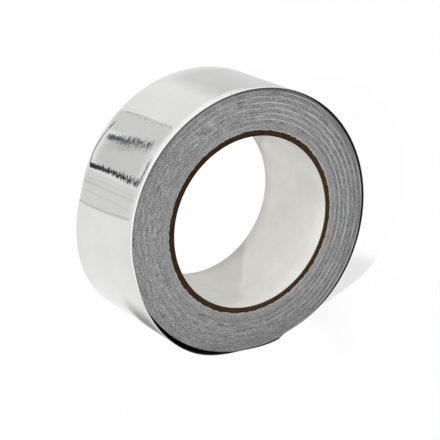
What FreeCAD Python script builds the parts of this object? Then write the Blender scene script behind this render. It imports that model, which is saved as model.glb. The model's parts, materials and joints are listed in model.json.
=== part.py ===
import FreeCAD, Part
import Sketcher
import math
import os
from FreeCAD import Vector

# A roll of aluminium foil tape that lies on one end. +Z is the roll's axis and the origin is the
# centre of the lower end. The turns run outwards anticlockwise seen from above. The cut end of the
# tape is on +X, so an angle along the last turn runs from -360 (just past the cut) to 0 (the cut).

SIZES = [
    # alias, value in millimetres or degrees, what it is
    ("roll_width", 48.0, "width of the slit tape and of its core"),
    ("bore_diameter", 76.2, "three inch core"),
    ("lining_wall", 0.25, "white paper ply inside the core"),
    ("board_wall", 1.95, "brown paperboard plies of the core"),
    ("wound_diameter", 116.3, "winding under the cut end of the tape"),
    ("tape_thickness", 0.17, "foil, adhesive and release paper"),
    ("edge_drop", 0.5, "how far the slit edge is pressed in where the last turn lies tight"),
    ("edge_width", 0.8, "width of the pressed edge"),
    ("edge_spring", 0.8, "stand-off at which the pressed edge has sprung back flat"),
    ("least_gap", 0.2, "least gap between the loose part of the last turn and the turn below"),
    ("tail_start", -120.0, "angle where the loose tail leaves the winding, lower edge"),
    ("tail_start_upper", -100.0, "the same at the upper edge"),
    ("tail_crest", -72.0, "angle of the tail's highest point, lower edge"),
    ("tail_crest_upper", -46.0, "the same at the upper edge"),
    ("tail_rest", -15.0, "angle where the tail comes back to the winding"),
    ("tail_height", 4.7, "stand-off at the crest, lower edge"),
    ("tail_height_upper", 2.8, "the same at the upper edge"),
    ("lip_start", -30.0, "angle from which the cut end lifts"),
    ("lip_end", 6.0, "angle past the cut where the turn under it is down again"),
    ("lip_height", 0.7, "lift of the cut end"),
    ("slack_start", -366.0, "angle where the slack on the other side begins"),
    ("slack_full", -320.0, "angle where it has reached its full width"),
    ("slack_easing", -250.0, "angle where it begins to close"),
    ("slack_end", -156.0, "angle where it has closed"),
    ("slack_height", 1.0, "stand-off at its full width"),
    ("open_start", -345.0, "angle where the open gap under the slack begins"),
    ("open_full", -312.0, "angle where it is at its widest"),
    ("open_easing", -240.0, "angle where it begins to narrow"),
    ("open_end", -215.0, "angle where it is down to the least gap"),
    ("open_height", 0.7, "how much more than the least gap it is at its widest"),
]
CURVE_STEP = 6.0  # degrees between the points that carry the last turn's curve
EDGE_SPAN = 45.0  # most degrees that one edge of that curve runs, so that no face of the roll is long
OVERSHOOT = 1.0  # how far a cutting tool stands past each end of the roll
CUT_TOLERANCE = 0.01  # share by which a cut may differ from what its tool covers


def make_sheet(doc):
    sheet = doc.addObject("Spreadsheet::Sheet", "sizes")
    for row, (alias, value, note) in enumerate(SIZES, start=1):
        sheet.set(f"A{row}", note)
        sheet.set(f"B{row}", str(value))
        sheet.setAlias(f"B{row}", alias)
    doc.recompute()
    return sheet


# ---- core ----


def make_tube(doc, label, inner_radius, outer_radius):
    # A plain tube as long as the roll is wide; both radii are expressions on the sheet.
    body = doc.addObject("PartDesign::Body", label)
    body.Label = label
    body.Placement = FreeCAD.Placement()
    plane = next(item for item in body.Origin.OriginFeatures if item.Role == "XY_Plane")
    sketch = body.newObject("Sketcher::SketchObject", label + "_section")
    sketch.AttachmentSupport = [(plane, "")]
    sketch.MapMode = "FlatFace"
    for start_radius, radius in ((1.0, inner_radius), (2.0, outer_radius)):
        circle = sketch.addGeometry(Part.Circle(Vector(0, 0, 0), Vector(0, 0, 1), start_radius))
        sketch.addConstraint(Sketcher.Constraint("Coincident", circle, 3, -1, 1))
        size = sketch.addConstraint(Sketcher.Constraint("Radius", circle, start_radius))
        sketch.setExpression(f"Constraints[{size}]", radius)
    pad = body.newObject("PartDesign::Pad", label + "_length")
    pad.Profile = sketch
    pad.setExpression("Length", "sizes.roll_width")
    return body


# ---- winding ----


def swell(angle, start, full, easing, end, height):
    # A smooth hump over the arc from start to end, at its full height between full and easing.
    if angle <= start or angle >= end:
        return 0.0
    share = min(1.0, (angle - start) / (full - start), (end - angle) / (end - easing))
    return height * (1 - math.cos(math.pi * share)) / 2


def mix(low, high, share):
    return low + (high - low) * share


def lip(sheet, angle):
    # The cut end lifts, and the turn that it lies on lifts nearly as far.
    if angle > -180:
        return swell(angle, sheet.lip_start, 0.0, 0.0, sheet.lip_end, sheet.lip_height)
    height = sheet.lip_height - sheet.least_gap
    return swell(angle + 360, sheet.lip_start, 0.0, 0.0, sheet.lip_end, height)


def slack(sheet, angle):
    return swell(
        angle, sheet.slack_start, sheet.slack_full, sheet.slack_easing, sheet.slack_end, sheet.slack_height
    )


def stand_off(sheet, angle, height):
    # How far the last turn stands away from the winding. The tail is straight across its width,
    # from its lower edge to its upper edge.
    crest, crest_upper = sheet.tail_crest, sheet.tail_crest_upper
    lower = swell(angle, sheet.tail_start, crest, crest, sheet.tail_rest, sheet.tail_height)
    upper = swell(
        angle, sheet.tail_start_upper, crest_upper, crest_upper, sheet.tail_rest, sheet.tail_height_upper
    )
    return mix(lower, upper, height / sheet.roll_width) + lip(sheet, angle) + slack(sheet, angle)


def pressed_in(sheet, angle, height):
    # The two slit edges are pressed in, less so where the tape has sprung away from the winding. The
    # slope runs on past the end of the roll, for a tool that stands past it.
    past = max(sheet.edge_width - height, height + sheet.edge_width - sheet.roll_width, 0.0)
    sprung = min(1.0, stand_off(sheet, angle, height) / sheet.edge_spring)
    return sheet.edge_drop * (1 - sprung) * past / sheet.edge_width


def outer_radius(sheet, angle, height):
    spiral = sheet.tape_thickness * (1 + angle / 360)
    rise = stand_off(sheet, angle, height) - pressed_in(sheet, angle, height)
    return sheet.wound_diameter / 2 + spiral + rise


def under_radius(sheet, angle, height):
    # The turn below the tail is the one before the last, and lies the least gap further in. Towards
    # the cut end the lift of the lip makes that gap instead, because the last turn begins there.
    return outer_radius(sheet, angle - 360, height) - sheet.least_gap * min(1.0, angle / sheet.lip_start)


def polar(radius, angle, height):
    turn = math.radians(angle)
    return Vector(radius * math.cos(turn), radius * math.sin(turn), height)


def curve(radius_at, first, last, height):
    # A smooth curve through evenly spaced points of a radius that changes with the angle, as a chain
    # of edges cut from one spline.
    pieces = math.ceil(abs(last - first) / EDGE_SPAN)
    count = pieces * math.ceil(abs(last - first) / pieces / CURVE_STEP)
    angles = [mix(first, last, step / count) for step in range(count + 1)]
    spline = Part.BSplineCurve()
    spline.interpolate(
        [polar(radius_at(angle), angle, height) for angle in angles],
        Parameters=[step / count for step in range(count + 1)],
    )
    return [spline.toShape(piece / pieces, (piece + 1) / pieces) for piece in range(pieces)]


def join(before, after):
    ends = before[-1].lastVertex(True).Point, after[0].firstVertex(True).Point
    return [Part.LineSegment(*ends).toShape()]


def winding_outline(sheet, height):
    # Out along the last turn to the cut, round the cut end, back along the inside of the loose
    # tail, and out again on the turn below it to where the last turn begins.
    def outside(angle):
        return outer_radius(sheet, angle, height)

    def inside(angle):
        return outside(angle) - sheet.tape_thickness

    def below(angle):
        return under_radius(sheet, angle, height)

    last_turn = curve(outside, -360, 0, height)
    tail_inside = curve(inside, 0, sheet.tail_start, height)
    turn_below = curve(below, sheet.tail_start, 0, height)
    cut_end, tail_root = join(last_turn, tail_inside), join(tail_inside, turn_below)
    return Part.Wire(last_turn + cut_end + tail_inside + tail_root + turn_below)


def slack_outline(sheet, height):
    # The empty crescent under the slack part of the last turn. The turns below follow the slack, so
    # it is the least gap wide and opens only over its first half.
    start, end = sheet.open_start, sheet.slack_end

    def inside(angle):
        return outer_radius(sheet, angle, height) - sheet.tape_thickness

    def below(angle):
        opening = swell(
            angle, start, sheet.open_full, sheet.open_easing, sheet.open_end, sheet.open_height
        )
        return inside(angle) - sheet.least_gap - opening

    out = curve(inside, start, end, height)
    back = curve(below, end, start, height)
    return Part.Wire(out + join(out, back) + back + join(back, out))


def make_sections(doc, name, outline, sheet, heights):
    sections = []
    for number, height in enumerate(heights):
        section = doc.addObject("Part::Feature", f"{name}_{number}")
        section.Shape = outline(sheet, height)
        section.Placement = FreeCAD.Placement()
        sections.append(section)
    return sections


def make_loft(doc, name, sections):
    loft = doc.addObject("Part::Loft", name)
    loft.Sections = sections
    loft.Solid = True
    loft.Ruled = True
    return loft


def make_cut(doc, name, base, tool):
    cut = doc.addObject("Part::Cut", name)
    cut.Base = base
    cut.Tool = tool
    return cut


def make_winding(doc, sheet, label):
    low, high = sheet.edge_width, sheet.roll_width - sheet.edge_width
    heights = [0.0, low, high, sheet.roll_width]
    turns = make_loft(doc, "turns", make_sections(doc, "turns_at", winding_outline, sheet, heights))

    core_hole = doc.addObject("Part::Cylinder", "core_hole")
    core_hole.setExpression("Radius", "sizes.bore_diameter / 2 + sizes.lining_wall + sizes.board_wall")
    core_hole.setExpression("Height", "sizes.roll_width")

    tool_heights = [-OVERSHOOT, low, high, sheet.roll_width + OVERSHOOT]
    gap = make_loft(doc, "slack_gap", make_sections(doc, "slack_at", slack_outline, sheet, tool_heights))

    winding = make_cut(doc, label, make_cut(doc, "bored_turns", turns, core_hole), gap)
    winding.Label = label
    winding.Placement = FreeCAD.Placement()
    return winding


# ---- whole roll ----


def check(doc, pieces):
    doc.recompute()
    for item in doc.Objects:
        if "Invalid" in item.State or "Error" in item.State:
            raise RuntimeError(f"{item.Name} failed: {item.State}")
        if item.TypeId == "Part::Cut":
            removed = item.Base.Shape.Volume - item.Shape.Volume
            covered = item.Base.Shape.common(item.Tool.Shape).Volume
            if covered <= 0 or abs(removed - covered) > covered * CUT_TOLERANCE:
                raise RuntimeError(f"{item.Label} removed {removed:.0f} mm3 of {covered:.0f} mm3")
    for piece in pieces:
        if piece.Shape.isNull() or not piece.Shape.isValid() or len(piece.Shape.Solids) != 1:
            raise RuntimeError(f"{piece.Label} is not one valid solid")


def main():
    doc = FreeCAD.newDocument("foil_tape_roll")
    sheet = make_sheet(doc)
    board_inner = "sizes.bore_diameter / 2 + sizes.lining_wall"
    pieces = [
        make_tube(doc, "core_lining", "sizes.bore_diameter / 2", board_inner),
        make_tube(doc, "core_tube", board_inner, board_inner + " + sizes.board_wall"),
        make_winding(doc, sheet, "tape_winding"),
    ]
    check(doc, pieces)
    os.makedirs("parts", exist_ok=True)
    for piece in pieces:
        piece.Shape.exportStep(f"parts/{piece.Label}.step")
        print(f"{piece.Label}: {piece.Shape.Volume / 1000:.2f} cm3")


main()
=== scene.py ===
import json
import math
import random

import bpy
from mathutils import Matrix, Vector


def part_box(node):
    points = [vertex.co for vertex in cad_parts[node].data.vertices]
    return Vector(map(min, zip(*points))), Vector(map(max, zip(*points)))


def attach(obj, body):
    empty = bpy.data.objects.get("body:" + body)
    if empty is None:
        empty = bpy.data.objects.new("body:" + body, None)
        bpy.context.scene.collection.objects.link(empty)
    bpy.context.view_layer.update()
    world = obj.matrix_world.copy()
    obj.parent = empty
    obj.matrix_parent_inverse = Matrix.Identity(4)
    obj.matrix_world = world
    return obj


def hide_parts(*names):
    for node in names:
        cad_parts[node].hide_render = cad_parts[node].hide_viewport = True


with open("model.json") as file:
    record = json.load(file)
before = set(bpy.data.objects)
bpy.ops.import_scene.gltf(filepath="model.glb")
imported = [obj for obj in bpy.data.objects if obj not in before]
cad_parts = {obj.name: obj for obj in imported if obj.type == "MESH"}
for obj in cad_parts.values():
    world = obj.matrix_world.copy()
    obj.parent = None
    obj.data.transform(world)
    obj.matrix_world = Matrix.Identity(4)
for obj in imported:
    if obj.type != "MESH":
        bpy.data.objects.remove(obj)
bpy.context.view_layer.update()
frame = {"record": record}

random.seed(41)
mm = 0.001

# sizes that the frame gives, in mm
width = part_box("tape_winding")[1][2] / mm
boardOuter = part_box("core_tube")[1][0] / mm
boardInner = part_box("core_lining")[1][0] / mm
boreRadius = next(m for m in frame["record"]["mounts"] if m["name"] == "core_bore")["dims"]["r_mm"]


def addNode(tree, kind, inputs=None, **settings):
    node = tree.nodes.new(kind)
    for name, value in settings.items():
        setattr(node, name, value)
    for key, value in (inputs or {}).items():
        socket = node.inputs[key]
        if isinstance(value, bpy.types.NodeSocket):
            tree.links.new(value, socket)
        else:
            socket.default_value = value
    return node


def calc(tree, operation, *values):
    return addNode(tree, "ShaderNodeMath", dict(enumerate(values)), operation=operation).outputs[0]


def times(tree, first, second):
    return calc(tree, "MULTIPLY", first, second)


def minus(tree, first, second):
    return calc(tree, "SUBTRACT", first, second)


def vectorCalc(tree, operation, *values, out="Vector", **named):
    inputs = {**dict(enumerate(values)), **named}
    return addNode(tree, "ShaderNodeVectorMath", inputs, operation=operation).outputs[out]


def remap(tree, value, fromLow, fromHigh, toLow=0.0, toHigh=1.0):
    inputs = {"Value": value, "From Min": fromLow, "From Max": fromHigh, "To Min": toLow, "To Max": toHigh}
    return addNode(tree, "ShaderNodeMapRange", inputs).outputs["Result"]


def closeTo(tree, value, middle, within, beyond):
    # 1 where a value is within so much of the middle, 0 where it is further off than beyond
    return remap(tree, calc(tree, "ABSOLUTE", minus(tree, value, middle)), within, beyond, 1.0, 0.0)


def mixColor(tree, share, first, second):
    return addNode(tree, "ShaderNodeMix", {0: share, 6: first, 7: second}, data_type="RGBA").outputs[2]


def mixValue(tree, share, first, second):
    return addNode(tree, "ShaderNodeMix", {0: share, 2: first, 3: second}, data_type="FLOAT").outputs[0]


def blend(tree, first, firstShare, second):
    # a weighted mean of two values
    return calc(tree, "ADD", times(tree, first, firstShare), times(tree, second, 1 - firstShare))


def noise(tree, vector, scale=1.0, detail=2.0):
    inputs = {"Vector": vector, "Scale": scale, "Detail": detail}
    return addNode(tree, "ShaderNodeTexNoise", inputs).outputs["Fac"]


def objectPlace(tree):
    return addNode(tree, "ShaderNodeTexCoord").outputs["Object"]


def newGroup(name, inputs, outputs):
    group = bpy.data.node_groups.new(name, "ShaderNodeTree")
    for label, kind, value in inputs:
        socket = group.interface.new_socket(name=label, in_out="INPUT", socket_type=kind)
        socket.default_value = value
    for label, kind in outputs:
        group.interface.new_socket(name=label, in_out="OUTPUT", socket_type=kind)
    return group, group.nodes.new("NodeGroupInput"), group.nodes.new("NodeGroupOutput")


def useGroup(tree, group, **values):
    return addNode(tree, "ShaderNodeGroup", values, node_tree=group)


def emptyMaterial(name):
    material = bpy.data.materials.new(name)
    material.use_nodes = True
    material.node_tree.nodes.clear()
    return material, material.node_tree


def outputShader(tree, shader, kind="ShaderNodeOutputMaterial"):
    tree.links.new(shader.outputs[0], tree.nodes.new(kind).inputs["Surface"])


def mixShader(tree, share, first, second):
    inputs = {0: share, 1: first.outputs[0], 2: second.outputs[0]}
    return addNode(tree, "ShaderNodeMixShader", inputs)


def newMaterial(name):
    material, tree = emptyMaterial(name)
    shader = tree.nodes.new("ShaderNodeBsdfPrincipled")
    outputShader(tree, shader)
    return material, tree, shader


def colorAndBump(tree, shader, color, height, strength, depth):
    tree.links.new(color, shader.inputs["Base Color"])
    bump = addNode(tree, "ShaderNodeBump", {"Strength": strength, "Distance": depth * mm, "Height": height})
    tree.links.new(bump.outputs[0], shader.inputs["Normal"])


def gray(value, warm=0.0):
    return (value * (1 + warm), value, value * (1 - warm), 1.0)


def makeTurnsGroup():
    # what varies over wound or rolled stock: Grain runs along the turns, Speck is fine, Patch is broad
    group, inside, out = newGroup(
        "alongTheTurns",
        [("Turn Pitch", "NodeSocketFloat", 0.3), ("Grain Length", "NodeSocketFloat", 8.0),
         ("Speck Size", "NodeSocketFloat", 0.4), ("Patch Size", "NodeSocketFloat", 12.0)],
        [("Grain", "NodeSocketFloat"), ("Speck", "NodeSocketFloat"), ("Patch", "NodeSocketFloat"),
         ("Radius", "NodeSocketFloat")],
    )
    pitch, length, speckSize, patchSize = inside.outputs[:4]
    inMm = vectorCalc(group, "SCALE", objectPlace(group), Scale=1 / mm)
    flat = vectorCalc(group, "MULTIPLY", inMm, (1.0, 1.0, 0.0))
    radius = vectorCalc(group, "LENGTH", flat, out="Value")
    around = vectorCalc(group, "NORMALIZE", flat)
    spread = vectorCalc(group, "SCALE", around, Scale=calc(group, "DIVIDE", 50.0, length))
    across = addNode(group, "ShaderNodeCombineXYZ", {"Z": calc(group, "DIVIDE", radius, pitch)})
    grain = noise(group, vectorCalc(group, "ADD", spread, across.outputs[0]))
    speck = noise(group, inMm, calc(group, "DIVIDE", 1.0, speckSize), 1.0)
    patch = noise(group, inMm, calc(group, "DIVIDE", 1.0, patchSize), 3.0)
    for name, value in (("Grain", grain), ("Speck", speck), ("Patch", patch), ("Radius", radius)):
        group.links.new(value, out.inputs[name])
    return group


def makeSideGroup():
    # 0 to 1 round the roll, fullest on the side that faces a direction
    group, inside, out = newGroup(
        "facingSide",
        [("Side", "NodeSocketVector", (1.0, 0.0, 0.0)), ("Low", "NodeSocketFloat", 0.0),
         ("High", "NodeSocketFloat", 1.0)],
        [("Share", "NodeSocketFloat")],
    )
    side, low, high = inside.outputs[:3]
    flat = vectorCalc(group, "MULTIPLY", objectPlace(group), (1.0, 1.0, 0.0))
    facing = vectorCalc(group, "DOT_PRODUCT", vectorCalc(group, "NORMALIZE", flat), side, out="Value")
    group.links.new(remap(group, facing, low, high), out.inputs["Share"])
    return group


turnsGroup = makeTurnsGroup()
sideGroup = makeSideGroup()


def outwardAt(angle):
    turn = math.radians(angle)
    return (math.cos(turn), math.sin(turn), 0.0)


def towards(tree, angle, within, beyond):
    # 1 within so many degrees of an angle, 0 beyond so many
    edges = {"Low": math.cos(math.radians(beyond)), "High": math.cos(math.radians(within))}
    return useGroup(tree, sideGroup, Side=outwardAt(angle), **edges).outputs["Share"]


def polar(radius, angle, height):
    turn = math.radians(angle)
    return Vector((radius * math.cos(turn), radius * math.sin(turn), height)) * mm


def makeObject(name, points, faces, marks, materials, smooth=True):
    mesh = bpy.data.meshes.new(name)
    mesh.from_pydata(points, [], faces)
    for material in materials:
        mesh.materials.append(material)
    mesh.polygons.foreach_set("material_index", marks)
    mesh.polygons.foreach_set("use_smooth", [smooth] * len(faces))
    mesh.validate()
    mesh.update()
    obj = bpy.data.objects.new(name, mesh)
    bpy.context.scene.collection.objects.link(obj)
    return obj


def sweepSections(sections, closed, points, faces, marks, sectionMarks):
    # each section is one loop of (radius, height) at an angle; loops are skinned one to the next
    base = len(points)
    size = len(sections[0][1])
    for angle, loop in sections:
        points.extend(polar(radius, angle, height) for radius, height in loop)
    count = len(sections)
    for step in range(count if closed else count - 1):
        here = base + step * size
        there = base + (step + 1) % count * size
        for side in range(size):
            after = (side + 1) % size
            faces.append((here + side, there + side, there + after, here + after))
            marks.append(sectionMarks[side])
    if not closed:
        last = base + (count - 1) * size
        faces.append(tuple(base + side for side in range(size)))
        faces.append(tuple(last + side for side in reversed(range(size))))
        marks.extend([sectionMarks[0]] * 2)


def finishPiece(obj, node):
    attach(obj, "root")
    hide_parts(node)


# the winding; lengths in mm, angles in degrees with the cut end of the tape at 0
foil = {
    "woundRadius": 58.15, "tape": 0.17, "leastGap": 0.2, "tightGap": 0.02,
    "edgeDrop": 0.5, "edgeWidth": 0.8, "edgeSpring": 0.8,
    # swells of the last turn and of the gaps under it: start, full, easing, end, height
    "tail": (-120.0, -72.0, -72.0, -15.0, 4.7), "tailUpper": (-94.0, -46.0, -46.0, -15.0, 2.8),
    "underTail": (-94.0, -72.0, -64.0, 0.0, 0.85), "lip": (-30.0, 0.0, 0.0, 3.2, 0.7),
    "slack": (-366.0, -320.0, -250.0, -156.0, 1.0), "hairline": (-345.0, -338.0, -164.0, -156.0, 0.2),
    "open": (-345.0, -312.0, -240.0, -215.0, 0.7),
    "betweenGaps": -138.0,  # the slack has ended here and the loose tail has not begun to gape
    # how finely the mesh is cut
    "stepDegrees": 0.75, "faceRows": 46, "wallRows": 21, "edgeRows": (0.0, 0.12, 0.28, 0.5, 0.75, 1.0),
    "pastEdge": 0.25,
    # proud turns on the ends, in bands that drift inwards round the roll, with a painted highlight along
    # them
    "ridgePitch": 2.35, "ridgeStart": 47.706, "ridgeDrift": 0.625, "ridgeSide": 50.0, "ridgeHeight": 0.07,
    "bandHighlightColor": (0.66, 0.67, 0.68, 1.0), "bandHighlightShare": 0.72, "bandWidth": 0.13,
    # the foil, its streaks per metre along x, y and z, and how far they tip its face
    "color": gray(0.745, 0.006), "dullColor": gray(0.70, 0.006), "roughness": 0.05,
    "fineStreaks": (260.0, 260.0, 2300.0), "broadStreaks": (45.0, 45.0, 60.0),
    "fineSway": 0.52, "broadSway": 0.09, "calmSway": 0.2, "creasedSide": -142.0,
    # the slit ends
    "endDark": (0.062, 0.062, 0.063, 1.0), "endLight": (0.425, 0.425, 0.425, 1.0), "endRoughness": 0.7,
    "ringRadius": 44.3, "ringShade": 0.3, "midRadii": (42.5, 46.5), "midShade": 0.24,
    "outerRadii": (50.0, 56.3), "outerShade": 0.3, "rimRadii": (56.9, 56.0), "rimFade": 1.3, "rimShade": 0.8,
    "coreRadii": (40.5, 45.5), "adhesive": (0.27, 0.29, 0.32, 1.0), "stain": (0.24, 0.16, 0.11, 1.0),
    "speckRadius": 43.8, "speckSide": -38.0, "specks": (0.23, 0.165, 0.115, 1.0),
    "boardReach": 0.5, "paleLine": (0.50, 0.48, 0.43, 1.0),
    # the covered side of the tape, painted near black as shade in the gaps
    "backShadeDark": gray(0.008), "backShadeLight": gray(0.02), "backRoughness": 0.7,
}


def swell(angle, start, full, easing, end, height):
    # a smooth hump from start to end, at its full height between full and easing
    if angle <= start or angle >= end:
        return 0.0
    share = min(1.0, (angle - start) / (full - start), (end - angle) / (end - easing))
    return height * (1 - math.cos(math.pi * share)) / 2


def underLip(angle):
    return swell(angle, *foil["lip"][:4], foil["lip"][4] - foil["leastGap"])


def lip(angle):
    # the cut end lifts, and so does the turn that it lies on, but for the gap between them
    return swell(angle, *foil["lip"]) if angle > -180 else underLip(angle + 360)


def tailLift(angle, height):
    lower = swell(angle, *foil["tail"])
    upper = swell(angle, *foil["tailUpper"])
    return lower + (upper - lower) * height / width


def standOff(angle, height):
    return tailLift(angle, height) + lip(angle) + swell(angle, *foil["slack"])


def pressedIn(lift, height):
    # the slit edges are pressed in, less so where the tape has sprung away
    depth = min(1.0, min(height, width - height) / foil["edgeWidth"])
    return foil["edgeDrop"] * (1 - min(1.0, lift / foil["edgeSpring"])) * (1 - depth) ** 2


def lastTurn(angle, height):
    lift = standOff(angle, height)
    spiral = foil["tape"] * (1 + angle / 360)
    return foil["woundRadius"] + spiral + lift - pressedIn(lift, height)


def underTurn(angle, height):
    # under the slack the turn below keeps close to the last one, except where the gap is open
    if angle < foil["betweenGaps"]:
        gap = foil["tightGap"] + swell(angle, *foil["hairline"]) + swell(angle, *foil["open"])
        return lastTurn(angle, height) - foil["tape"] - gap
    # under the tail it follows at first, then falls back, and rises a little again under the lip
    tail = tailLift(angle, height)
    rise = min(tail, swell(angle, *foil["underTail"]))
    gap = foil["tightGap"] + foil["leastGap"] * min(1.0, (tail - rise) / foil["edgeSpring"])
    spiral = foil["tape"] * angle / 360
    return foil["woundRadius"] + spiral + rise + underLip(angle) - gap - pressedIn(tail, height)


def ridge(radius, angle):
    drift = foil["ridgeDrift"] * math.cos(math.radians(angle - foil["ridgeSide"]))
    phase = (radius - foil["ridgeStart"] - drift) / foil["ridgePitch"]
    crest = max(0.0, math.cos(2 * math.pi * phase)) ** 6
    return foil["ridgeHeight"] * (1 - crest)


def wallHeights():
    low = [foil["edgeWidth"] * share for share in foil["edgeRows"]]
    # the row just past each pressed edge keeps the foil's shading upright between them
    first = foil["edgeWidth"] + foil["pastEdge"]
    count = foil["wallRows"]
    middle = [first + (width - 2 * first) * step / count for step in range(count + 1)]
    return low + middle + [width - height for height in reversed(low)]


def foilMaterial():
    material, tree, shader = newMaterial("brightFoil")
    shader.inputs["Metallic"].default_value = 1.0
    turns = useGroup(tree, turnsGroup, **{"Speck Size": 1.2, "Patch Size": 22.0})
    tint = mixColor(tree, remap(tree, turns.outputs["Patch"], 0.35, 0.65), foil["dullColor"], foil["color"])
    tree.links.new(tint, shader.inputs["Base Color"])
    rough = foil["roughness"]
    rough = remap(tree, turns.outputs["Speck"], 0.3, 0.7, rough * 0.8, rough * 1.3)
    tree.links.new(rough, shader.inputs["Roughness"])
    # the foil sways along the turns in fine streaks, a few degrees where it is creased and less elsewhere
    place = objectPlace(tree)
    fine = noise(tree, vectorCalc(tree, "MULTIPLY", place, foil["fineStreaks"]))
    broad = noise(tree, vectorCalc(tree, "MULTIPLY", place, foil["broadStreaks"]), detail=1.0)
    sway = calc(tree, "ADD", times(tree, minus(tree, fine, 0.5), foil["fineSway"]),
                times(tree, minus(tree, broad, 0.5), foil["broadSway"]))
    creased = mixValue(tree, towards(tree, foil["creasedSide"], 6.0, 16.5), foil["calmSway"], 1.0)
    normal = addNode(tree, "ShaderNodeNewGeometry").outputs["Normal"]
    along = vectorCalc(tree, "NORMALIZE", vectorCalc(tree, "CROSS_PRODUCT", (0.0, 0.0, 1.0), place))
    tilt = vectorCalc(tree, "SCALE", along, Scale=times(tree, sway, creased))
    tilted = vectorCalc(tree, "NORMALIZE", vectorCalc(tree, "ADD", normal, tilt))
    tree.links.new(tilted, shader.inputs["Normal"])
    return material


def proudBandHighlights(tree, radius):
    # a mask of the painted highlight on the thin lines where turns stand proud, fullest towards one side;
    # uneven from line to line and along each
    around = vectorCalc(tree, "MULTIPLY", objectPlace(tree), (1.0, 1.0, 0.0))
    around = vectorCalc(tree, "NORMALIZE", around)
    toSide = vectorCalc(tree, "DOT_PRODUCT", around, outwardAt(foil["ridgeSide"]), out="Value")
    shifted = minus(tree, radius, times(tree, toSide, foil["ridgeDrift"]))
    innermost = foil["ridgeStart"] - foil["ridgePitch"] * 20
    band = calc(tree, "DIVIDE", minus(tree, shifted, innermost), foil["ridgePitch"])
    nearest = calc(tree, "ROUND", band)
    line = closeTo(tree, band, nearest, 0.0, foil["bandWidth"])
    step = addNode(tree, "ShaderNodeCombineXYZ", {"Z": times(tree, nearest, 7.3)}).outputs[0]
    uneven = noise(tree, vectorCalc(tree, "ADD", vectorCalc(tree, "SCALE", around, Scale=2.2), step))
    strength = times(tree, remap(tree, uneven, 0.38, 0.58, 0.1, 1.0),
                     mixValue(tree, towards(tree, 95.0, 60.0, 114.0), 0.25, 1.0))
    return times(tree, line, strength)


def shadedEnds(tree, tone, radius):
    # painted shade: darker rings a third of the way out and near the rim, and the right half darker outwards
    right = towards(tree, 40.0, 50.0, 118.0)
    rimStart = mixValue(tree, towards(tree, 185.0, 42.0, 80.0), *foil["rimRadii"])
    rim = remap(tree, minus(tree, radius, rimStart), 0.0, foil["rimFade"])
    rim = times(tree, rim, towards(tree, 140.0, 72.0, 112.0))
    ringShade = mixValue(tree, right, 1 - foil["ringShade"] * 0.4, 1 - foil["ringShade"])
    shades = (
        (closeTo(tree, radius, foil["ringRadius"], 0.2, 2.4), ringShade),
        (remap(tree, radius, *foil["midRadii"]), mixValue(tree, right, 1.0, 1 - foil["midShade"])),
        (remap(tree, radius, *foil["outerRadii"]), mixValue(tree, right, 0.86, 1 - foil["outerShade"])),
        (rim, 1 - foil["rimShade"]),
    )
    for share, shade in shades:
        tone = times(tree, tone, mixValue(tree, share, 1.0, shade))
    return tone


def endMaterial():
    material, tree, shader = newMaterial("slitEnds")
    shader.inputs["Metallic"].default_value = 0.0
    shader.inputs["Roughness"].default_value = foil["endRoughness"]
    sizes = {"Turn Pitch": 0.5, "Grain Length": 5.0, "Speck Size": 0.45, "Patch Size": 9.0}
    turns = useGroup(tree, turnsGroup, **sizes)
    grain, speck, patch, radius = (turns.outputs[name] for name in ("Grain", "Speck", "Patch", "Radius"))
    tone = shadedEnds(tree, remap(tree, blend(tree, grain, 0.45, speck), 0.34, 0.69), radius)
    # blue-gray adhesive and a little brown near the core, and a short row of brown specks in one turn
    nearCore = remap(tree, radius, *foil["coreRadii"], 1.0, 0.0)
    stained = times(tree, nearCore, remap(tree, patch, 0.45, 0.6))
    row = times(tree, closeTo(tree, radius, foil["speckRadius"], 0.1, 0.5),
                towards(tree, foil["speckSide"], 8.0, 15.0))
    # the board's dark colour reaches unevenly over the first turns, with a pale line beside it
    ragged = noise(tree, vectorCalc(tree, "MULTIPLY", objectPlace(tree), (420.0, 420.0, 0.0)), detail=3.0)
    reach = minus(tree, radius, remap(tree, ragged, 0.42, 0.66, 0.0, foil["boardReach"]))
    color = mixColor(tree, tone, foil["endDark"], foil["endLight"])
    layers = (
        (times(tree, proudBandHighlights(tree, radius), foil["bandHighlightShare"]), foil["bandHighlightColor"]),
        (times(tree, nearCore, 0.45), foil["adhesive"]),
        (times(tree, stained, 0.35), foil["stain"]),
        (times(tree, row, remap(tree, speck, 0.42, 0.52, 0.0, 0.65)), foil["specks"]),
        (remap(tree, reach, boardOuter + 0.2, boardOuter + 0.5, 0.5, 0.0), foil["paleLine"]),
        (remap(tree, reach, boardOuter + 0.02, boardOuter + 0.14, 1.0, 0.0), core["boardDark"]),
    )
    for share, layer in layers:
        color = mixColor(tree, share, color, layer)
    colorAndBump(tree, shader, color, grain, 0.4, 0.1)
    return material


def shadedBackMaterial():
    # painted shade: the covered side of the loose tape and the turn under it are near black, as the gaps
    # between them are in shade
    material, tree, shader = newMaterial("shadedTapeBack")
    shader.inputs["Roughness"].default_value = foil["backRoughness"]
    turns = useGroup(tree, turnsGroup, **{"Speck Size": 0.8})
    color = mixColor(tree, turns.outputs["Speck"], foil["backShadeDark"], foil["backShadeLight"])
    tree.links.new(color, shader.inputs["Base Color"])
    return material


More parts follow.
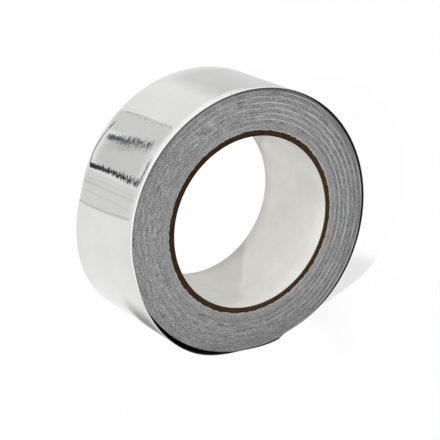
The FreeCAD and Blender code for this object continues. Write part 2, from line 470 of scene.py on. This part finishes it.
def buildWinding():
    heights = wallHeights()
    wall = len(heights)
    count = int(360 / foil["stepDegrees"])
    rows = foil["faceRows"]
    points, faces, marks = [], [], []

    # the wound body, closed all the way round; materials are 0 foil, 1 slit end, 2 tape back in painted
    # shade
    sections = []
    for step in range(count):
        angle = -360 + 360 * step / count
        outerTop = underTurn(angle, width)
        outerLow = underTurn(angle, 0.0)
        loop = [(boardOuter, height) for height in (0.0, width / 2, width)]
        for row in range(1, rows):
            radius = boardOuter + (outerTop - boardOuter) * row / rows
            loop.append((radius, width - ridge(radius, angle)))
        loop += [(underTurn(angle, height), height) for height in reversed(heights)]
        for row in range(rows - 1, 0, -1):
            radius = boardOuter + (outerLow - boardOuter) * row / rows
            loop.append((radius, ridge(radius, angle)))
        sections.append((angle, loop))
    bodyMarks = [1] * (2 + rows) + [2] * (wall - 1) + [1] * rows
    sweepSections(sections, True, points, faces, marks, bodyMarks)

    # the last turn, a thin strip with a cut end
    sections = []
    for step in range(count + 1):
        angle = -360 + 360 * step / count
        outside = [(lastTurn(angle, height), height) for height in heights]
        inside = [(radius - foil["tape"], height) for radius, height in reversed(outside)]
        sections.append((angle, outside + inside))
    stripMarks = [0] * (wall - 1) + [1] + [2] * (wall - 1) + [1]
    sweepSections(sections, False, points, faces, marks, stripMarks)

    obj = makeObject("foil_winding", points, faces, marks, [foilMaterial(), endMaterial(), shadedBackMaterial()])
    finishPiece(obj, "tape_winding")
    print("foil winding:", len(faces), "faces")


# the core: a brown board tube and the white paper inside it; nicks in mm
core = {
    "stepDegrees": 1.0, "boardNicks": 0.16, "paperNicks": 0.05, "boardRows": 3, "paperRows": 6,
    "boardDark": (0.017, 0.0075, 0.0026, 1.0), "boardLight": (0.058, 0.032, 0.0135, 1.0),
    "paper": (0.69, 0.68, 0.648, 1.0), "paperShade": (0.63, 0.62, 0.588, 1.0),
    "boardRoughness": 0.85, "boardShine": 0.1, "paperRoughness": 0.8,
}


def boardMaterial():
    material, tree, shader = newMaterial("coreBoard")
    shader.inputs["Roughness"].default_value = core["boardRoughness"]
    shader.inputs["Specular IOR Level"].default_value = core["boardShine"]
    turns = useGroup(tree, turnsGroup, **{"Turn Pitch": 0.5, "Grain Length": 4.0, "Speck Size": 0.35})
    share = blend(tree, turns.outputs["Grain"], 0.6, turns.outputs["Speck"])
    # painted light: the board is lighter towards the side at 40 degrees
    share = calc(tree, "ADD", share, times(tree, towards(tree, 40.0, 60.0, 150.0), 0.12))
    color = mixColor(tree, remap(tree, share, 0.38, 0.76), core["boardDark"], core["boardLight"])
    colorAndBump(tree, shader, color, share, 0.5, 0.2)
    return material


def paperMaterial():
    material, tree, shader = newMaterial("corePaper")
    shader.inputs["Roughness"].default_value = core["paperRoughness"]
    turns = useGroup(tree, turnsGroup, **{"Speck Size": 0.5, "Patch Size": 14.0})
    share = blend(tree, turns.outputs["Patch"], 0.7, turns.outputs["Speck"])
    color = mixColor(tree, remap(tree, share, 0.4, 0.6), core["paperShade"], core["paper"])
    colorAndBump(tree, shader, color, turns.outputs["Speck"], 0.25, 0.1)
    return material


def roughEdge(count, depth):
    # a smooth closed wander round the ring, 0 to depth
    waves = [(random.randint(5, 60), random.uniform(0, 6.28), random.uniform(0.3, 1.0)) for _ in range(9)]
    total = sum(size for _, _, size in waves)
    edge = []
    for step in range(count):
        turn = 2 * math.pi * step / count
        sway = sum(size * math.sin(times * turn + shift) for times, shift, size in waves) / total
        edge.append(depth * (0.5 + 0.5 * sway))
    return edge


def buildTube(name, node, inner, outer, materials, nicks, rows):
    count = int(360 / core["stepDegrees"])
    upper = roughEdge(count, nicks)
    lower = roughEdge(count, nicks)
    outerTop = roughEdge(count, nicks)
    middle = (inner + outer) / 2
    sections = []
    for step in range(count):
        lift, drop, trim = upper[step], lower[step], outerTop[step]
        loop = [(inner, drop + (width - lift - drop) * row / rows) for row in range(rows + 1)]
        loop += [(middle, width - lift * 0.4), (outer - trim * 0.3, width - trim)]
        loop += [(outer, width - 1.0 - (width - 2.0) * row / rows) for row in range(rows + 1)]
        loop.append((middle, drop * 0.4))
        sections.append((step * 360 / count, loop))
    # both walls take the first material, the cut ends the second
    sideMarks = [0] * rows + [1] * 3 + [0] * rows + [1] * 2
    points, faces, marks = [], [], []
    sweepSections(sections, True, points, faces, marks, sideMarks)
    finishPiece(makeObject(name, points, faces, marks, materials), node)
    print(name + ":", len(faces), "faces")


def buildCore():
    board, paper = boardMaterial(), paperMaterial()
    buildTube("core_board", "core_tube", boardInner, boardOuter,
              [board, board], core["boardNicks"], core["boardRows"])
    buildTube("core_paper", "core_lining", boreRadius, boardInner,
              [paper, board], core["paperNicks"], core["paperRows"])


# the camera: its place in mm, and degrees round the roll, above the table and about its own axis
view = {
    "place": (-251.74, -233.71, 497.86), "azimuth": -138.0, "elevation": 53.93, "roll": 117.782,
    "lens": 108.8, "sensor": 36.0,
}
viewPlace = Vector(view["place"]) * mm


def buildCamera():
    data = bpy.data.cameras.new("camera")
    data.lens = view["lens"]
    data.sensor_width = view["sensor"]
    camera = bpy.data.objects.new("camera", data)
    turn = Matrix.Rotation(math.radians(view["azimuth"] + 90), 4, "Z")
    turn = turn @ Matrix.Rotation(math.radians(90 - view["elevation"]), 4, "X")
    turn = turn @ Matrix.Rotation(math.radians(view["roll"]), 4, "Z")
    camera.matrix_world = Matrix.Translation(viewPlace) @ turn
    bpy.context.scene.collection.objects.link(camera)
    bpy.context.scene.camera = camera


# the floor in metres, its shadow's side in degrees, and the light
studio = {
    "floorSize": 3.0, "floorColor": gray(0.97), "litShare": 0.05, "shadowShare": 0.95, "shadowSide": 37.0,
    "skyLight": 0.51, "boreGlow": 0.5, "mirroredTop": 1.35,
}
suns = [
    {"name": "keySun", "light": 1.1, "azimuth": -115.3, "elevation": 36.8, "angle": 0.8},
    {"name": "fillSun", "light": 1.2, "azimuth": 172.0, "elevation": 35.0, "angle": 40.0},
    {"name": "sideSun", "light": 0.45, "azimuth": -75.0, "elevation": 35.0, "angle": 40.0},
]

# cards on the floor that only reflections see, each given by where the foil mirrors it: its name, a
# path of (angle, height), its size in degrees and mm, its tone, how far it lies off the floor in mm,
# and the share of each side over which it fades out
cards = [
    ("cardUpper", [(-198, 58), (-198, 1)], (46.0, 0.0), (0.77, 0.77, 0.765), 0.15, 0.18),
    ("cardBetween", [(-137, 45), (-136, 24), (-135, 4)], (17.0, 0.0), (0.75, 0.755, 0.74), 0.2, 0.1),
    ("cardBelly", [(-121.5, 47), (-119.5, 1)], (14.6, 0.0), (0.84, 0.845, 0.84), 0.18, 0.05),
    ("cardHollow", [(-84, 54), (-72, 50.5), (-60, 45.5), (-46, 38)], (0.0, 26.0), (0.36, 0.365, 0.36),
     0.2, 0.28),
    ("cardFaint", [(-156.7, 44), (-155.2, 6)], (0.7, 0.0), (0.55, 0.56, 0.53), 0.3, 0.0),
    ("cardSide", [(-151, 46), (-150, 1)], (11.0, 0.0), (0.81, 0.815, 0.80), 0.25, 0.05),
    ("cardFeather", [(-143.6, 41), (-141.6, 24), (-139.2, 7)], (6.0, 0.0), (0.60, 0.605, 0.58), 0.35, 0.35),
    ("cardSlate", [(-146.3, 42), (-144.3, 26), (-141.8, 5)], (2.9, 0.0), (0.12, 0.15, 0.16), 0.4, 0.06),
    ("cardDark", [(-130.2, 45.6), (-129.5, 24), (-128, 3)], (2.0, 0.0), (0.05, 0.06, 0.065), 0.5, 0.0),
    ("cardTop", [(-142, 45.3), (-136, 45.7), (-129.8, 45.2)], (0.0, 1.1), (0.08, 0.09, 0.095), 0.45, 0.0),
    ("cardLow", [(-149, 4.5), (-141, 2.6), (-134, 1.7), (-128, 2.8)], (0.0, 0.6), (0.08, 0.09, 0.095),
     0.45, 0.0),
    ("cardRim", [(-194, 46.7), (-160, 46.7), (-136, 46.8)], (0.0, 1.5), (1.32, 1.32, 1.31), 0.5, 0.12),
    ("cardGlow", [(-196, 190), (-130, 190)], (0.0, 232.0), (1.32, 1.32, 1.31), 0.12, 0.12),
    ("cardLine1", [(-125.2, 46), (-123.0, 2)], (0.6, 0.0), (0.765, 0.77, 0.76), 0.3, 0.0),
    ("cardLine2", [(-123.2, 46), (-120.9, 2)], (1.2, 0.0), (0.745, 0.75, 0.745), 0.3, 0.0),
    ("cardLine3", [(-119.0, 46), (-117.6, 2)], (0.7, 0.0), (0.765, 0.77, 0.765), 0.3, 0.0),
    ("cardLine4", [(-115.6, 46), (-114.2, 30), (-112.2, 1)], (0.9, 0.0), (0.67, 0.68, 0.68), 0.3, 0.0),
]
cardSteps = 24  # cells along a card's path
cardCells = 10  # cells across it


def cardMaterial(name, tone):
    material, tree = emptyMaterial(name)
    glow = addNode(tree, "ShaderNodeEmission", {"Color": (*tone, 1.0)})
    clear = tree.nodes.new("ShaderNodeBsdfTransparent")
    fade = addNode(tree, "ShaderNodeAttribute", attribute_name="fade").outputs["Fac"]
    outputShader(tree, mixShader(tree, fade, clear, glow))
    return material


def mirroredFloorPoint(angle, height, level):
    # where the ray from the camera, mirrored by the upright foil at this spot, meets the floor
    spot = polar(foil["woundRadius"], angle, height)
    outward = Vector(outwardAt(angle))
    ray = (spot - viewPlace).normalized()
    ray -= 2 * ray.dot(outward) * outward
    return spot + ray * ((spot.z - level) / -ray.z)


def pointAlong(path, share):
    along = share * (len(path) - 1)
    part = min(int(along), len(path) - 2)
    return Vector(path[part]).lerp(Vector(path[part + 1]), along - part)


def fadeAt(share, soft):
    return min(1.0, min(share, 1 - share) / soft) if soft else 1.0


def buildCard(name, path, size, tone, lift, soft):
    points, faces, fades = [], [], []
    for step in range(cardSteps + 1):
        angle, height = pointAlong(path, step / cardSteps)
        for cell in range(cardCells + 1):
            side = cell / cardCells - 0.5
            points.append(mirroredFloorPoint(angle + side * size[0], height + side * size[1], lift * mm))
            fades.append(fadeAt(step / cardSteps, soft) * fadeAt(cell / cardCells, soft))
    for step in range(cardSteps):
        for cell in range(cardCells):
            here = step * (cardCells + 1) + cell
            faces.append((here, here + 1, here + cardCells + 2, here + cardCells + 1))
    card = makeObject(name, points, faces, [0] * len(faces), [cardMaterial(name, tone)], smooth=False)
    card.data.attributes.new("fade", "FLOAT", "POINT").data.foreach_set("value", fades)
    card.visible_camera = False
    card.visible_diffuse = False
    card.visible_shadow = False


def seenDirectly(tree):
    # 1 for what the camera, a mirror or clear stuff sees, 0 for what only lights the object
    path = addNode(tree, "ShaderNodeLightPath")
    both = calc(tree, "MAXIMUM", path.outputs["Is Camera Ray"], path.outputs["Is Glossy Ray"])
    return calc(tree, "MAXIMUM", both, path.outputs["Is Transmission Ray"])


def floorMaterial():
    material, tree = emptyMaterial("floorPaper")
    matte = addNode(tree, "ShaderNodeBsdfDiffuse", {"Color": studio["floorColor"]})
    glow = addNode(tree, "ShaderNodeEmission", {"Color": gray(1.0)})
    radius = vectorCalc(tree, "LENGTH", objectPlace(tree), out="Value")
    inBore = calc(tree, "LESS_THAN", radius, (boreRadius + 0.1) * mm)
    inShadow = towards(tree, studio["shadowSide"], 9.0, 13.0)
    shade = mixValue(tree, inShadow, studio["litShare"], studio["shadowShare"])
    white = calc(tree, "MAXIMUM", minus(tree, 1.0, shade), inBore)
    # under the bore it lights the lining from below, as an open end would
    boreGlow = times(tree, inBore, studio["boreGlow"])
    share = calc(tree, "MAXIMUM", times(tree, seenDirectly(tree), white), boreGlow)
    outputShader(tree, mixShader(tree, share, matte, glow))
    return material


def buildFloor():
    half = studio["floorSize"] / 2
    corners = [(-half, -half, 0), (half, -half, 0), (half, half, 0), (-half, half, 0)]
    makeObject("floor", corners, [(0, 1, 2, 3)], [0], [floorMaterial()], smooth=False)


def buildSky():
    world = bpy.data.worlds.new("sky")
    bpy.context.scene.world = world
    world.use_nodes = True
    tree = world.node_tree
    tree.nodes.clear()
    # mirrors see a brighter ceiling, the camera sees plain white, and the object is lit by a soft gray
    direction = addNode(tree, "ShaderNodeTexCoord").outputs["Generated"]
    upwards = addNode(tree, "ShaderNodeSeparateXYZ", {0: direction}).outputs["Z"]
    ceiling = remap(tree, upwards, 0.0, 0.2, 1.0, studio["mirroredTop"])
    seen = mixValue(tree, addNode(tree, "ShaderNodeLightPath").outputs["Is Glossy Ray"], 1.0, ceiling)
    strength = mixValue(tree, seenDirectly(tree), studio["skyLight"], seen)
    sky = addNode(tree, "ShaderNodeBackground", {"Color": gray(1.0), "Strength": strength})
    outputShader(tree, sky, "ShaderNodeOutputWorld")


def buildSun(lamp):
    data = bpy.data.lights.new(lamp["name"], "SUN")
    data.energy = lamp["light"]
    data.angle = math.radians(lamp["angle"])
    sun = bpy.data.objects.new(lamp["name"], data)
    turn = math.radians(lamp["azimuth"])
    toSun = Vector((math.cos(turn), math.sin(turn), math.tan(math.radians(lamp["elevation"]))))
    sun.rotation_euler = toSun.to_track_quat("Z", "Y").to_euler()
    sun.visible_glossy = False
    bpy.context.scene.collection.objects.link(sun)


buildWinding()
buildCore()
buildCamera()
for card in cards:
    buildCard(*card)
buildFloor()
buildSky()
for lamp in suns:
    buildSun(lamp)
bpy.context.scene.view_settings.view_transform = "Standard"
print("roll, camera and light are in place")
